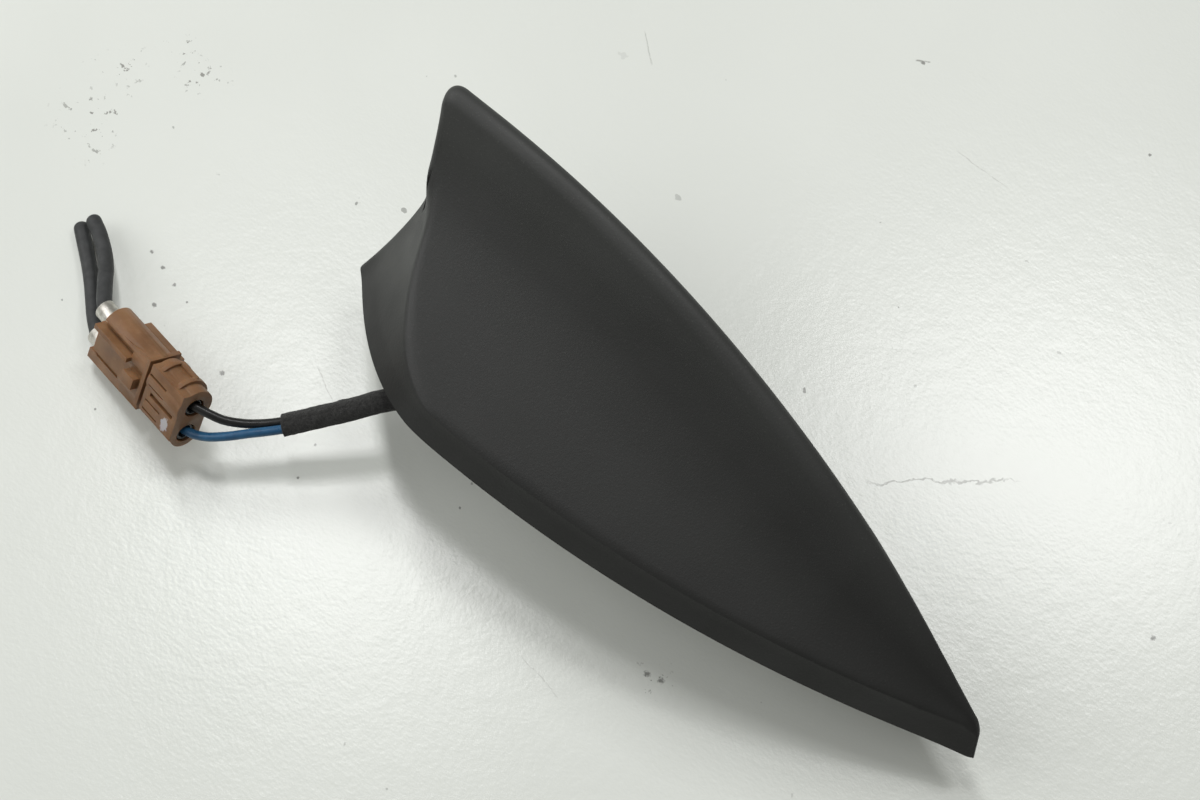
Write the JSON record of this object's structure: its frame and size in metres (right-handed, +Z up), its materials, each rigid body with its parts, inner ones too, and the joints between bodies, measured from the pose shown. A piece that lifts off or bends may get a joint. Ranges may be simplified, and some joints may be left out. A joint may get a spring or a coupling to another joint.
{
  "type": "shark fin aerial",
  "caption": "Low roof aerial in a swept shark fin cover on a sealed die-cast base, with sleeved coax leads to a mated connector pair and cut cable tails.",
  "frame": {"origin": "middle of the mounting boss in the roof plane, where the seals rest", "axes": "+X forward to the nose, +Y to the left, +Z up out of the roof"},
  "size_m": [0.2591, 0.0892, 0.1068],
  "materials": {
    "cover_plastic": "fine grained matt",
    "die_cast": "as cast",
    "seal_rubber": "matt",
    "board": "solder resist",
    "tin": "tinned",
    "patch_ceramic": "matt",
    "silver": "satin",
    "carrier_plastic": "moulded",
    "brass_strip": "rolled",
    "copper_wire": "enamelled",
    "screw_steel": "zinc plated",
    "fleece": "felt tape",
    "black_jacket": "satin",
    "blue_jacket": "satin",
    "brown_plastic": "moulded",
    "ferrule_tin": "dull",
    "tail_jacket": "matt"
  },
  "bodies": {
    "root": {"fin_cover": "cover_plastic", "base_plate": "die_cast", "base_seal": "seal_rubber", "boss_seal": "seal_rubber", "circuit_board": "board", "shield_can": "tin", "gps_patch": "patch_ceramic", "patch_electrode": "silver", "element_carrier": "carrier_plastic", "top_plate": "brass_strip", "loading_coil": "copper_wire", "contact_spring": "brass_strip", "board_screws": "screw_steel", "cover_screws": "screw_steel", "cable_grommet": "seal_rubber", "lead_ferrules": "tin", "fleece_sleeve": "fleece", "black_lead": "black_jacket", "blue_lead": "blue_jacket", "plug_housing": "brown_plastic", "plug_retainer": "brown_plastic", "plug_crimps": "silver", "socket_housing": "brown_plastic", "socket_retainer": "brown_plastic", "socket_ferrules": "ferrule_tin", "tail_cable_left": "tail_jacket", "tail_cable_right": "tail_jacket"}
  },
  "joints": []
}
